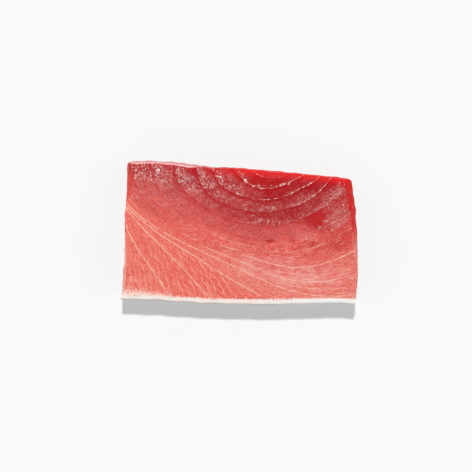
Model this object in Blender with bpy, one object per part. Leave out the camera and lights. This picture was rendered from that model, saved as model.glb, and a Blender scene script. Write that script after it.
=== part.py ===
"""A thick fillet of bluefin tuna, cut across the loin, with its skin left on along the front side.

The block lies on one cut face and shows the other. X runs along the skin, +Y points away from it
towards the spine, and +Z is up. The origin is at the centre of the base. Lengths are in metres.
"""

import bmesh
import bpy
import mathutils
import numpy as np

MM = 0.001

# Driving sizes of the whole block
LENGTH = 182.4 * MM
DEPTH = 110.8 * MM
THICKNESS = 25.5 * MM

# Plan of the block at its widest, near the base: its left end leans to the right going back,
# its right end swells and draws in again, and its spine side falls back to the right
LEFT_LEAN = 4.4 * MM
RIGHT_SWELL = 9.6 * MM
RIGHT_DRAW = 4.0 * MM
RIGHT_INSET = 1.7 * MM
SPINE_FALL = 14.4 * MM
SPINE_FALL_POWER = 1.25
SKIN_SAG = 3.8 * MM
SKIN_WAVE = 0.5 * MM

# Skin with the white layer under it, thicker towards the right end
SKIN_LEFT = 2.8 * MM
SKIN_RIGHT = 3.8 * MM
SKIN_GAP = 0.3 * MM
SKIN_EDGE = 0.7 * MM
SKIN_EDGE_FROM = 0.88
SKIN_TRIM = 0.5 * MM

# Sides of the flesh: how far the rim of the cut face stands inside the plan, by the skin and by
# the spine, or to the right and to the left for the spine side
LEFT_FLARE = (2.4 * MM, 5.6 * MM)
RIGHT_FLARE = (2.6 * MM, 5.6 * MM)
SPINE_FLARE = (1.9 * MM, 4.2 * MM)
FLARE_POWER = 1.3
BASE_ROUND = 1.2 * MM
BASE_ROUND_HEIGHT = 0.16
RIM_ROUND = 1.5 * MM
LEFT_CORNER = 0.03
RIGHT_CORNER = 0.08
SIDE_WAVE = 0.3 * MM
SIDE_WAVES = (9, 7)

# Cut face: it falls away towards the spine, and is lower at its two ends
FACE_FALL = 6.5 * MM
FACE_FALL_START = -0.15
FACE_FALL_POWER = 1.8
END_FALL = 0.9 * MM

# Growth lines of the muscle on the cut face. Each row is one line, numbered outwards from a
# point beyond the spine side, with its distance from that point in millimetres at the bearings
# given, which are counted in degrees from +X round towards the skin.
LINE_CENTRE = (24.4 * MM, 56.1 * MM)
BEARINGS = (15, 45, 75, 105, 130, 150, 165, 180)
GROWTH_LINES = {
    0: (9, 8, 7, 7, 8, 9, 9, 9),
    2: (30, 24, 22.3, 24.2, 26.3, 27.8, 31, 36),
    4: (48.3, 42.9, 40, 42.6, 48.3, 56.6, 59.5, 61.5),
    6: (80, 66, 60.8, 62.5, 68, 81, 88.3, 92.5),
    8: (118, 96, 86, 77.3, 83, 95.5, 105, 109),
    10: (165, 135, 107.3, 88.4, 89.9, 103.4, 118.5, 135),
    12: (255, 215, 165, 122, 107.4, 111, 123, 150),
    14: (440, 370, 280, 200, 147, 135, 129, 165),
}
LINE_FARTHEST = 200
LINE_STEP = 0.25

# Relief of the cut face: it climbs towards each growth line and drops just past it, deeply in
# the lean muscle by the spine and hardly at all in the fat muscle
RIDGE_LEAN = 0.8 * MM
RIDGE_FAT = 0.15 * MM
RIDGE_DROP = 0.35
LEAN_UP_TO_LINE = 4.0
FAT_FROM_LINE = 7.5

# Cuts along X, Y and Z of the blocks that the two pieces are shaped from
FLESH_CUTS = (75, 45, 4)
SKIN_CUTS = (71, 1, 4)
BUNCHING = 0.6
SHARP_EDGE_DEGREES = 50


def ramp(value, low, high):
    """A smooth step from 0 at low to 1 at high."""
    t = np.clip((value - low) / (high - low), 0, 1)
    return t * t * (3 - 2 * t)


def across(value):
    """-1..1 across the block as 0..1."""
    return np.clip((value + 1) / 2, 0, 1)


def mix(ends, t):
    """From the first of a pair at t = 0 to the second at t = 1."""
    return ends[0] + (ends[1] - ends[0]) * t


def skin_line(u):
    """Y of the skin's outer side: high at the left end, sagging to its lowest by the middle."""
    t = across(u)
    sag = SKIN_SAG * (1 - np.cos(np.pi * np.clip(2 * t, 0, 1))) / 2
    return SKIN_SAG - DEPTH / 2 - sag + SKIN_WAVE * np.sin(3 * np.pi * t) * ramp(t, 0.5, 0.7)


def skin_depth(u):
    """Thickness of the skin and its white layer."""
    return mix((SKIN_LEFT, SKIN_RIGHT), across(u))


def spine_line(u):
    """Y of the far side, which falls towards the right end."""
    return DEPTH / 2 - SPINE_FALL * across(u) ** SPINE_FALL_POWER


def end_lines(s):
    """X of the left and the right end, from s = 0 at the skin to 1 at the far side."""
    left = -LENGTH / 2 + LEFT_LEAN * s
    right = LENGTH / 2 - RIGHT_INSET + RIGHT_SWELL * s * (1 - s) - RIGHT_DRAW * s * s
    return left, right


def bunched(value):
    """Crowds the cuts of -1..1 together near the two sides, where the rim is round."""
    return mix((value, np.sin(np.pi / 2 * value)), BUNCHING)


def rounded(u, v):
    """Pulls in the two corners by the far side, and leaves those by the skin square."""
    corner = np.where(u < 0, LEFT_CORNER, RIGHT_CORNER)
    du = np.clip((np.abs(u) - (1 - corner)) / corner, 0, 1)
    dv = np.clip((v - (1 - corner)) / corner, 0, 1)
    u = np.sign(u) * (np.abs(u) - corner * du * (1 - np.sqrt(1 - dv * dv / 2)))
    v = v - corner * dv * (1 - np.sqrt(1 - du * du / 2))
    return u, v


def flared(u, v, height):
    """Draws the sides in by their flare at the rim, height 1, and by the base's round at height 0."""
    lean = height**FLARE_POWER
    tuck = BASE_ROUND * (1 - np.clip(height / BASE_ROUND_HEIGHT, 0, 1)) ** 2
    wave = SIDE_WAVE * np.sin(SIDE_WAVES[0] * u + 2 * height) * np.cos(SIDE_WAVES[1] * v - 3 * height)
    end = np.where(u < 0, mix(LEFT_FLARE, ramp(v, -0.4, 0.6)), mix(RIGHT_FLARE, ramp(v, -0.5, 0.2)))
    spine = mix(SPINE_FLARE, ramp(-u, 0.0, 0.5))
    u = u * (1 - (end * lean + tuck + wave) / (LENGTH / 2))
    v = v - across(v) * (spine * lean + tuck + wave) / (DEPTH / 2)
    return u, v


def flesh_plan(u, v):
    """X and Y of the flesh at u and v from -1 to 1, v being -1 by the skin."""
    s = across(v)
    left, right = end_lines(s)
    front = skin_line(u) + skin_depth(u) + SKIN_GAP
    return mix((left, right), across(u)), mix((front, spine_line(u)), s)


def face_height(u, v):
    """Height of the cut face without its ridges."""
    fall = np.clip((v - FACE_FALL_START) / (1 - FACE_FALL_START), 0, 1) ** FACE_FALL_POWER
    return THICKNESS - FACE_FALL * fall - END_FALL * u**6


def smoothed(values, places, wanted):
    """Smooth curve through rows of values at the given places, by cubic Hermite pieces."""
    places, values = np.asarray(places, float), np.asarray(values, float)
    slope = np.gradient(values, places, axis=0)
    i = np.clip(np.searchsorted(places, wanted) - 1, 0, len(places) - 2)
    gap = (places[i + 1] - places[i])[:, None]
    t = np.clip((wanted - places[i])[:, None] / gap, 0, 1)
    start = values[i] * (1 + 2 * t) * (1 - t) ** 2 + slope[i] * gap * t * (1 - t) ** 2
    end = values[i + 1] * t * t * (3 - 2 * t) + slope[i + 1] * gap * t * t * (t - 1)
    return start + end


def line_number(x, y):
    """Number, with its fraction, of the growth line through each point of the cut face."""
    numbers = np.arange(0, max(GROWTH_LINES), LINE_STEP / 5)
    degrees = np.arange(BEARINGS[0], BEARINGS[-1] + LINE_STEP, LINE_STEP)
    distances = np.arange(0, LINE_FARTHEST, LINE_STEP)
    radii = smoothed(list(GROWTH_LINES.values()), list(GROWTH_LINES), numbers)
    radii = np.maximum.accumulate(smoothed(radii.T, BEARINGS, degrees), axis=1)
    table = np.array([np.interp(distances, row, numbers) for row in radii])
    dx, dy = (x - LINE_CENTRE[0]) / MM, (LINE_CENTRE[1] - y) / MM
    bearing = np.clip(np.degrees(np.arctan2(dy, dx)) % 360, BEARINGS[0], BEARINGS[-1])
    row = np.rint((bearing - BEARINGS[0]) / LINE_STEP).astype(int)
    column = np.rint(np.clip(np.hypot(dx, dy), 0, distances[-1]) / LINE_STEP).astype(int)
    return table[row, column]


def ridge(number):
    """Height of the relief at a line number: highest on each whole number."""
    part = number % 1
    climb = np.clip((part - RIDGE_DROP / 2) / (1 - RIDGE_DROP / 2), 0, 1) ** 2
    drop = 1 - ramp(part, 0, RIDGE_DROP)
    return mix((RIDGE_LEAN, RIDGE_FAT), ramp(number, LEAN_UP_TO_LINE, FAT_FROM_LINE)) * (climb + drop - 0.5)


def flesh_point(u, v, w):
    """Where a point of the flesh goes: w runs from 0 at the base to 1 at the cut face."""
    u, v = rounded(bunched(u), bunched(v))
    rim = np.minimum(1 - np.abs(u), 1 - v) * DEPTH / 2
    top = face_height(u, v)
    u, v = flared(u, v, w)
    x, y = flesh_plan(u, v)
    top = top - RIM_ROUND * np.clip(1 - rim / (2 * RIM_ROUND), 0, 1) ** 2
    top = top + ridge(line_number(x, y)) * ramp(rim, 0, 2 * RIM_ROUND)
    return x, y, w * top


def skin_point(u, v, w):
    """Where a point of the skin goes: v is -1 on its outer side and 1 against the flesh."""
    outer = 1 - across(v)
    y = skin_line(u) + skin_depth(u) * across(v) + SKIN_EDGE * outer * ramp(w, SKIN_EDGE_FROM, 1)
    left, right = end_lines(0 * u)
    top = face_height(u, -1) - SKIN_EDGE * outer**2
    return mix((left, right - SKIN_TRIM), across(u)), y, w * top


def subdivided_block(cuts):
    """A cube from -1 to 1 on X and Y and 0 to 1 on Z, cut that many times along each axis."""
    mesh = bmesh.new()
    bmesh.ops.create_cube(mesh, size=2)
    bmesh.ops.translate(mesh, verts=mesh.verts, vec=(0, 0, 1))
    bmesh.ops.scale(mesh, verts=mesh.verts, vec=(1, 1, 0.5))
    for axis, count in enumerate(cuts):
        spans = [e for e in mesh.edges if abs(e.verts[0].co[axis] - e.verts[1].co[axis]) > MM]
        bmesh.ops.subdivide_edges(mesh, edges=spans, cuts=count, use_grid_fill=True)
    return mesh


def shaped(name, cuts, place):
    """One named solid: a subdivided block whose every point is moved by place(u, v, w)."""
    mesh = subdivided_block(cuts)
    block = np.array([vertex.co for vertex in mesh.verts])
    for vertex, point in zip(mesh.verts, np.stack(place(*block.T), axis=1)):
        vertex.co = point
    base = [face for face in mesh.faces if all(vertex.co.z == 0 for vertex in face.verts)]
    bmesh.ops.dissolve_faces(mesh, faces=base)
    bmesh.ops.recalc_face_normals(mesh, faces=mesh.faces)
    data = bpy.data.meshes.new(name)
    mesh.to_mesh(data)
    mesh.free()
    data.shade_smooth()
    data.set_sharp_from_angle(angle=np.radians(SHARP_EDGE_DEGREES))
    return bpy.data.objects.new(name, data)


def finish(name, colour, roughness):
    """A plain material with a piece's colour and gloss."""
    material = bpy.data.materials.new(name)
    material.use_nodes = True
    shader = material.node_tree.nodes["Principled BSDF"]
    shader.inputs["Base Color"].default_value = (*colour, 1)
    shader.inputs["Roughness"].default_value = roughness
    shader.inputs["Metallic"].default_value = 0
    return material


def flesh():
    """The block of red muscle, paler towards the skin."""
    solid = shaped("flesh", FLESH_CUTS, flesh_point)
    solid.data.materials.append(finish("wet_flesh", (0.62, 0.11, 0.09), 0.3))
    return solid


def skin():
    """The skin with the white layer under it, along the whole front side."""
    solid = shaped("skin", SKIN_CUTS, skin_point)
    solid.data.materials.append(finish("white_skin_layer", (0.82, 0.76, 0.68), 0.45))
    return solid


def centre_on_origin(pieces):
    """Moves the pieces together so that the origin is at the middle of their plan."""
    points = np.array([vertex.co for piece in pieces for vertex in piece.data.vertices])
    middle = (points.min(axis=0) + points.max(axis=0)) / 2
    for piece in pieces:
        piece.data.transform(mathutils.Matrix.Translation((-middle[0], -middle[1], 0)))


for old in list(bpy.data.objects):
    bpy.data.objects.remove(old)
fillet = bpy.data.collections.new("tuna_fillet")
bpy.context.scene.collection.children.link(fillet)
pieces = [flesh(), skin()]
centre_on_origin(pieces)
for piece in pieces:
    fillet.objects.link(piece)
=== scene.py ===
import bpy
import numpy as np
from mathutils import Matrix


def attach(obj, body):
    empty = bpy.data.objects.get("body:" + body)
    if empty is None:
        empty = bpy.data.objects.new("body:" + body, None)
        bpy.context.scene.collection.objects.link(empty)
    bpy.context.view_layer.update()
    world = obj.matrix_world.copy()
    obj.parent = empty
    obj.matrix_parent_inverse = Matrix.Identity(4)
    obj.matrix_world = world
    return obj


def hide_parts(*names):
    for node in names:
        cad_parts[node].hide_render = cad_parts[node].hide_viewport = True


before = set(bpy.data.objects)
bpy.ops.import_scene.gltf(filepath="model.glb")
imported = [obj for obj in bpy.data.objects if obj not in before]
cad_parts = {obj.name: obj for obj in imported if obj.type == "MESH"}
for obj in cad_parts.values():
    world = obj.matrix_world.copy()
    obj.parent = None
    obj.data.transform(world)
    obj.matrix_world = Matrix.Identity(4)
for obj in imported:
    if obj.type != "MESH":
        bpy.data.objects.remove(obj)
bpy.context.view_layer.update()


# Card, light and camera
# The fillet lies on a plain pale card. A lamp behind it, well up, throws a crisp shadow to the
# front, pale walls all round fill that shadow, and the room is dark overhead.
MM = 0.001
CARD_SIDE = 3.0
CARD_PALENESS = 0.595
CARD_GLOW = 0.325
LAMP_ELEVATION = 62.5
LAMP_ANGLE = 4.0
LAMP_STRENGTH = 2.6
WALL_STRENGTH = 0.56
CEILING_STRENGTH = 0.08
CEILING_EDGE = (0.45, 0.95)
PHOTO_SIDE = 472
PHOTO_CENTRE = PHOTO_SIDE / 2
ORIGIN_PIXEL = (239.65, 232.2)
MM_PER_PIXEL = 0.7595
CUT_FACE_HEIGHT = 25.0 * MM
CAMERA_HEIGHT = 1.4
SENSOR = 36.0


def put(tree, kind, inputs=None, **settings):
    """Adds a node, sets its fields, and gives each input a value or joins it to another socket."""
    made = tree.nodes.new(kind)
    for name, value in settings.items():
        setattr(made, name, value)
    for key, value in (inputs or {}).items():
        if isinstance(value, bpy.types.NodeSocket):
            tree.links.new(value, made.inputs[key])
        else:
            made.inputs[key].default_value = value
    return made


def span(tree, value, low, high, start=0.0, end=1.0):
    """A smooth step of value: start at low and below, end at high and above."""
    limits = {"Value": value, "From Min": low, "From Max": high, "To Min": start, "To Max": end}
    return put(tree, "ShaderNodeMapRange", limits, interpolation_type="SMOOTHSTEP").outputs["Result"]


def finished(name, shader_values):
    """A new material: its tree and its Principled shader, with the given constant values."""
    material = bpy.data.materials.new(name)
    material.use_nodes = True
    shader = material.node_tree.nodes["Principled BSDF"]
    for key, value in shader_values.items():
        shader.inputs[key].default_value = value
    return material, material.node_tree, shader


def grid_mesh(name, points, faces):
    """A mesh from an array of points and a list of arrays of faces, shaded smooth."""
    mesh = bpy.data.meshes.new(name)
    mesh.from_pydata(points, [], [face for block in faces for face in block.tolist()])
    mesh.shade_smooth()
    return mesh


def piece(name, mesh, material):
    """Puts a mesh into the scene as an object with its material."""
    made = bpy.data.objects.new(name, mesh)
    mesh.materials.append(material)
    bpy.context.scene.collection.objects.link(made)
    return made


corner = CARD_SIDE / 2
card_mesh = grid_mesh(
    "card",
    [(-corner, -corner, 0), (corner, -corner, 0), (corner, corner, 0), (-corner, corner, 0)],
    [np.array([[0, 1, 2, 3]])],
)
card_finish, _, _ = finished(
    "card",
    {
        "Base Color": (*[CARD_PALENESS] * 3, 1),
        "Roughness": 0.9,
        "Specular IOR Level": 0.1,
        "Emission Color": (1, 1, 1, 1),
        "Emission Strength": CARD_GLOW,
    },
)
card = piece("card", card_mesh, card_finish)

lamp_data = bpy.data.lights.new("lamp", "SUN")
lamp_data.energy = LAMP_STRENGTH
lamp_data.angle = np.radians(LAMP_ANGLE)
lamp = bpy.data.objects.new("lamp", lamp_data)
lamp.rotation_euler = (np.radians(LAMP_ELEVATION - 90), 0, 0)
bpy.context.scene.collection.objects.link(lamp)

room = bpy.data.worlds.new("room")
room.use_nodes = True
sky = room.node_tree
direction = put(sky, "ShaderNodeTexCoord").outputs["Generated"]
upward = put(sky, "ShaderNodeSeparateXYZ", {0: direction}).outputs["Z"]
level = span(sky, upward, *CEILING_EDGE, WALL_STRENGTH, CEILING_STRENGTH)
sky.links.new(level, sky.nodes["Background"].inputs["Strength"])
sky.nodes["Background"].inputs["Color"].default_value = (1, 1, 1, 1)
bpy.context.scene.world = room

# The camera looks straight down, from where a pixel is MM_PER_PIXEL wide on the cut face
camera_data = bpy.data.cameras.new("camera")
camera_data.sensor_width = SENSOR
camera_data.lens = SENSOR * (CAMERA_HEIGHT - CUT_FACE_HEIGHT) / (PHOTO_SIDE * MM_PER_PIXEL * MM)
camera = bpy.data.objects.new("camera", camera_data)
camera.location = (
    (PHOTO_CENTRE - ORIGIN_PIXEL[0]) * MM_PER_PIXEL * MM,
    (ORIGIN_PIXEL[1] - PHOTO_CENTRE) * MM_PER_PIXEL * MM,
    CAMERA_HEIGHT,
)
bpy.context.scene.collection.objects.link(camera)
bpy.context.scene.camera = camera
bpy.context.scene.view_settings.view_transform = "Standard"


# Flesh
# The block of raw muscle, sliced from the loin: curved growth lines round a point beyond the spine
# side, deep red and wet there and salmon pink towards the skin. It is one closed surface: a fine
# sheet for the cut face, rings for the sides and a coarser sheet for the base.
LENGTH = 182.4 * MM
DEPTH = 110.8 * MM
THICKNESS = 25.5 * MM

# Its outline seen from above. The hollow and the waves have a place, a width and a height each.
PLAN_SHIFT = (0.19 * MM, 0.24 * MM)
LEFT_LEAN = 4.4 * MM
LEFT_HOLLOW = (0.28, 0.28, 1.1 * MM)
RIGHT_SWELL = 8.6 * MM
RIGHT_DRAW = 3.2 * MM
RIGHT_INSET = 1.7 * MM
SPINE_FALL = 14.4 * MM
SPINE_FALL_POWER = 1.25
SPINE_WAVES = ((-1.0, 0.08, -1.4 * MM), (-0.6, 0.17, 1.2 * MM), (-0.24, 0.15, -1.3 * MM))
SKIN_SAG = 3.8 * MM
SKIN_WAVE = 0.5 * MM
SKIN_LEFT = 3.0 * MM
SKIN_RIGHT = 3.8 * MM
LEFT_CORNER = 0.018
RIGHT_CORNER = 0.05

# How far its sides lean in towards the cut face, from least to most along each, and how they are
# rounded and waved
LEFT_FLARE = (1.4 * MM, 4.6 * MM)
RIGHT_FLARE = (1.8 * MM, 4.6 * MM)
SPINE_FLARE = (0.8 * MM, 3.1 * MM)
SPINE_STEP = 0.9 * MM
CORNER_TUCK = 0.9 * MM
FLARE_POWER = 1.3
BASE_ROUND = 1.2 * MM
BASE_ROUND_HEIGHT = 0.16
RIM_ROUND = 1.0 * MM
SIDE_WAVE = 0.3 * MM

# How the cut face falls towards the spine side and the ends
FACE_FALL = 6.5 * MM
FACE_FALL_START = -0.15
FACE_FALL_POWER = 1.8
END_FALL = 0.9 * MM

# Its mesh: the cells are bunched towards the borders, and the rings towards the cut face
BUNCHING = 0.35
CELLS_ALONG = 330
CELLS_ACROSS = 198
RINGS = 20
RING_POWER = 1.2

# Growth lines: distance in millimetres from their centre, at bearings in degrees from +X round
# towards the skin. The rows are lines 0 to 14: 1 to 6 lie in the lean muscle, and 10 to 13 run out
# at the left end.
LINE_CENTRE = (24.6 * MM, 56.35 * MM)
BEARINGS = (15, 45, 75, 105, 130, 150, 165, 180)
GROWTH_LINES = (
    (9, 8, 7, 7, 8, 9, 9, 9),
    (19, 17.2, 15.2, 15.2, 16.3, 17.1, 17.6, 18),
    (30.5, 24, 22.3, 24.2, 26.3, 27.8, 31.5, 37),
    (41, 32.1, 30.6, 32.8, 36.6, 42.8, 45, 46),
    (48.3, 42.9, 40, 42.6, 48, 55, 57.9, 59.7),
    (64, 54.1, 51.2, 52.2, 57.8, 65.4, 73, 74.3),
    (81, 67, 60.5, 62.5, 68, 81, 89, 92.5),
    (98, 81, 73, 73.3, 79, 89.5, 97.5, 101),
    (118, 96, 86, 76.9, 83, 95.5, 104, 108),
    (140, 115, 97.3, 82.5, 86, 99.5, 111, 115),
    (165, 135, 107.3, 88.3, 89.9, 103.4, 118.5, 135),
    (200, 160, 122, 98.8, 95.4, 106.1, 121, 142),
    (255, 210, 160, 124, 107.4, 111, 122.5, 150),
    (340, 290, 220, 155, 127.9, 123, 125.5, 157),
    (440, 370, 280, 200, 150, 136, 129.5, 164),
)
LINE_STEP = 0.25
LINE_FARTHEST = 220.0
LINE_SLANT = -6.0 * MM

# The grain follows the lines: millimetres of it to a degree, to a line and to a millimetre of height
FLOW_SCALE = (0.3, 8.0, 1.0)

# Where a line shows as a cream streak: its number, the bearings it runs between, its strength
STREAKS = (
    (1, 50, 146, 0.5),
    (1.95, 27, 158, 0.9),
    (3.0, 22, 104, 0.9),
    (3.0, 104, 160, 0.6),
    (3.95, 18, 66, 0.6),
    (4.0, 62, 160, 0.12),
    (4.9, 36, 58, 0.65),
    (5.0, 100, 168, 0.12),
    (5.55, 153.2, 156.4, 0.5),
    (6.0, 148, 172, 0.3),
    (6.1, 30, 58, 0.5),
    (6.4, 36, 48, 0.3),
    (6.55, 97, 128, 0.35),
    (6.85, 40, 52, 0.3),
    (6.87, 86.5, 91.5, 0.5),
    (7.03, 75, 78.5, 0.5),
    (7.03, 57, 72, 0.5),
    (7.05, 163.4, 165.3, 0.45),
    (7.1, 110, 121, 0.6),
    (7.5, 101, 106, 0.6),
    (8.0, 38, 108, 0.8),
    (8.0, 131, 139, 0.6),
    (8.48, 55.5, 59.5, 0.45),
    (8.5, 73, 82, 0.5),
    (8.5, 160, 166, 0.35),
    (9.0, 59, 128, 0.8),
    (8.93, 160, 167, 0.5),
    (9.55, 62, 85, 0.6),
    (9.3, 159, 166, 0.55),
    (10, 57, 168, 0.95),
    (11, 95, 168, 1.0),
    (12, 113, 168, 1.0),
    (13, 122, 165, 0.95),
)

# How a streak fades at its ends and sideways, how the lines wander, and the small ridge at each
STREAK_END = 2.5
STREAK_REACH = (0.55 * MM, 1.0 * MM)
HALO_REACH = 1.3 * MM
WANDER = 0.14 * MM
WANDER_SIZE = 8.0 * MM
RIDGE_LEAN = 0.2 * MM
RIDGE_FAT = 0.1 * MM
RIDGE_DROP = 0.15
RIDGE_SPACING = (3.5 * MM, 8.0 * MM)

# Patches on the cut face: X, Y, half-length and half-width in millimetres, tilt in degrees, strength.
# Some stay smooth and vivid red, without the painted sheen; some are beads of moisture, painted as
# clusters of glints; some are paler or redder, and the paler one at the right adds painted sheen;
# and some are pearls: painted glints on the streaks, raised a little. The last three are crumbs of
# fat at the left, a duller part by the far left corner, and a part in the middle with fewer specks.
SMOOTH_PATCHES = (
    (26.0, 43.0, 22, 7.5, 0, 1.0),
    (32.2, 30.3, 13, 3.4, 0, 1.0),
    (58.0, 9.3, 9, 7.5, 0, 1.0),
    (72.4, 38.0, 13, 3.5, 0, 1.0),
    (58.0, 35.0, 13, 5.0, 0, 1.0),
)
GLINT_BEADS = (
    (-63.2, 48.6, 3.2, 2.6, 0, 0.8),
    (-79.9, 47.2, 1.6, 2.0, 0, 0.8),
    (-82.6, 50.2, 2.6, 1.4, -45, 0.8),
    (-75.0, 44.0, 9.0, 5.0, 0, 0.4),
    (-65.8, 40.0, 1.8, 3.0, 0, 0.6),
    (-60.8, 43.8, 2.5, 2.0, 0, 0.6),
    (-46.4, 39.6, 1.6, 1.8, 0, 0.9),
    (-36.2, 33.6, 3.5, 1.8, 0, 0.6),
    (-28.6, 38.9, 1.8, 1.6, 0, 0.9),
    (-15.2, 43.0, 5.2, 1.5, -65, 0.85),
    (-14.5, 27.5, 9.0, 2.6, -32, 0.4),
    (-5.4, 34.7, 3.2, 1.8, -20, 0.7),
    (2.5, 28.8, 3.4, 1.6, -25, 0.6),
    (2.3, 22.8, 3.0, 1.6, -45, 0.5),
    (4.1, 38.9, 1.7, 2.4, 0, 0.8),
    (24.6, 18.4, 4.0, 1.2, 8, 0.75),
    (10.1, 12.4, 1.7, 1.2, 0, 0.8),
    (19.3, 8.6, 6.5, 1.5, -5, 0.6),
    (34.4, 36.6, 5.0, 1.6, 15, 0.8),
    (40.0, 30.5, 5.0, 1.8, 25, 0.35),
    (54.2, 29.0, 13.5, 2.6, 33, 0.22),
    (69.0, 25.0, 7.0, 3.5, 50, 0.2),
    (76.0, 24.0, 6.0, 9.0, 0, 0.15),
    (66.2, 8.4, 4.0, 2.0, 0, 0.3),
    (51.9, -5.0, 3.5, 1.4, 0, 0.5),
    (78.0, 33.8, 6.5, 4.6, -35, 0.4),
    (80.3, 20.4, 2.6, 1.8, 30, 0.7),
)
BLOOMS = (
    (8.0, -26.0, 9, 7, 0, 0.6),
    (50.0, -33.5, 32, 7.5, 0, 0.85),
    (30.0, -22.0, 14, 5, 0, 0.5),
    (50.0, -4.0, 10, 4.5, 0, 0.35),
    (75.0, 10.5, 11, 6, 25, 0.5),
)
RED_SPOTS = (
    (-7.0, 17.0, 2.6, 1.6, 0, 0.9),
    (23.0, -6.9, 3.8, 1.5, 0, 1.0),
    (40.5, -6.5, 2.0, 3.5, 20, 0.6),
    (49.0, -8.5, 5.5, 2.2, 25, 0.8),
    (55.0, -9.3, 6.5, 2.6, 8, 0.8),
    (43.0, -12.0, 4.0, 1.6, 10, 0.6),
    (59.0, 6.0, 4.0, 3.0, 40, 0.7),
    (57.2, 11.6, 9.5, 4.6, 25, 0.9),
    (77.0, -9.0, 6.0, 4.0, 30, 0.5),
    (64.0, -11.0, 9.0, 3.0, 20, 0.35),
    (17.0, -50.0, 2.4, 1.0, 0, 0.55),
)
GLINT_PEARLS = (
    (4.6, 38.8, 2.3, 1.2, -50, 0.9),
    (11.2, 46.2, 1.4, 0.6, -45, 0.8),
    (10.2, 34.8, 1.4, 0.5, -25, 1.0),
    (14.6, 35.6, 1.2, 0.5, 0, 1.0),
    (16.7, 33.2, 1.5, 0.5, -12, 1.0),
    (24.0, 35.5, 1.2, 0.5, 5, 1.0),
    (32.8, 36.2, 3.6, 1.1, 18, 0.85),
    (38.8, 38.6, 1.8, 0.5, 30, 0.9),
    (28.0, 25.8, 1.5, 0.5, 5, 1.0),
    (40.0, 30.0, 2.0, 0.6, 25, 0.9),
    (48.5, 34.5, 3.2, 0.5, 38, 0.9),
    (54.0, 37.2, 2.6, 0.55, 36, 0.9),
    (-2.0, 29.5, 1.3, 0.7, -30, 1.0),
    (-14.6, 42.0, 1.3, 0.7, -62, 1.0),
    (-31.8, 37.4, 1.0, 0.7, 0, 0.9),
    (-14.0, -49.6, 1.8, 0.4, 0, 0.9),
    (65.9, 8.5, 3.6, 1.1, 0, 0.72),
    (60.3, 3.9, 2.6, 1.3, 20, 0.75),
    (61.0, 31.4, 3.0, 0.6, 42, 0.8),
    (65.6, 36.3, 2.4, 0.5, 48, 0.75),
    (69.3, 40.0, 1.8, 0.9, 40, 0.6),
    (57.6, 16.9, 2.6, 0.5, 27, 0.75),
    (65.6, 22.2, 1.5, 0.5, 30, 0.7),
)
LEFT_CRUMBS = (-83.0, -40.5, 11.0, 9.0, -45, 0.5)
DULL_PATCH = (-59.0, 39.5, 27.0, 12.0, 0, 1.0)
CALM_PATCH = (31.0, 17.0, 25.0, 11.0, 12, 0.75)

# Fine branches of fat fan out between the last lines, from a point beyond the far left corner, each
# FAN_STEP degrees or about FAN_WIDTH millimetres from the next. By the skin the fat is frayed, and
# reaches further in at the left.
FAN_CENTRE = (-80.2 * MM, 62.4 * MM)
FAN_STEP = 2.3
FAN_WIDTH = 3.6
FRAY_REACH = (3.5 * MM, 14.0 * MM)


def ramp(value, low, high):
    """A smooth step from 0 at low to 1 at high: 3 t^2 - 2 t^3."""
    t = np.clip((value - low) / (high - low), 0, 1)
    return t * t * (3 - 2 * t)


def fade(value, low, high):
    """A smooth step from 1 at low to 0 at high."""
    return 1 - ramp(value, low, high)


def bell(value, middle, reach):
    """1 in the middle, falling as exp(-d^2), where d is the distance from it in reaches."""
    return np.exp(-(((value - middle) / reach) ** 2))


def mix(ends, t):
    """From the first of a pair at t = 0 to the second at t = 1."""
    return ends[0] + (ends[1] - ends[0]) * t


def across(value):
    """-1..1 as 0..1."""
    return np.clip((value + 1) / 2, 0, 1)


def waves(points, size, seed, count=40):
    """Smooth random relief, about -1..1: a sum of sine waves of like length in random directions."""
    draw = np.random.default_rng(seed)
    heading = draw.normal(size=(3, count))
    heading *= 2 * np.pi / size * draw.uniform(0.75, 1.3, count) / np.linalg.norm(heading, axis=0)
    total = np.zeros(len(points))
    for wave, phase in zip(heading.T, draw.uniform(0, 2 * np.pi, count)):
        total += np.sin(points @ wave + phase)
    return total / np.sqrt(count)


def skin_line(u):
    """Y of the skin's outer side: a half cosine down to the middle, then flat with a slight wave."""
    t = across(u)
    sag = SKIN_SAG * (1 - np.cos(np.pi * np.clip(2 * t, 0, 1))) / 2
    return SKIN_SAG - DEPTH / 2 - sag + SKIN_WAVE * np.sin(3 * np.pi * t) * ramp(t, 0.5, 0.7)


def skin_depth(u):
    """Thickness of the skin and its white layer, growing evenly to the right."""
    return mix((SKIN_LEFT, SKIN_RIGHT), across(u))


def end_lines(s):
    """X of the left and right ends at s = 0 by the skin to 1 at the far side.

    The left end is a straight line drawn in by a bell; the right is a parabola.
    """
    middle, reach, depth = LEFT_HOLLOW
    left = -LENGTH / 2 + LEFT_LEAN * s + depth * bell(s, middle, reach)
    return left, LENGTH / 2 - RIGHT_INSET + RIGHT_SWELL * s * (1 - s) - RIGHT_DRAW * s * s


def flesh_plan(u, v):
    """X and Y at u and v: a four-sided plan whose far side falls as a power of its length.

    Bell-shaped waves give that side its unevenness.
    """
    s = across(v)
    front = skin_line(u) + skin_depth(u)
    spine = DEPTH / 2 - SPINE_FALL * across(u) ** SPINE_FALL_POWER
    for middle, reach, size in SPINE_WAVES:
        spine = spine + size * bell(u, middle, reach)
    return mix(end_lines(s), across(u)) + PLAN_SHIFT[0], mix((front, spine), s) + PLAN_SHIFT[1]


def rounded(u, v):
    """Pulls in the two corners by the far side: a square's corner moved onto an arc."""
    corner = np.where(u < 0, LEFT_CORNER, RIGHT_CORNER)
    du = np.clip((np.abs(u) - (1 - corner)) / corner, 0, 1)
    dv = np.clip((v - (1 - corner)) / corner, 0, 1)
    u = np.sign(u) * (np.abs(u) - corner * du * (1 - np.sqrt(1 - dv * dv / 2)))
    return u, v - corner * dv * (1 - np.sqrt(1 - du * du / 2))


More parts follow.
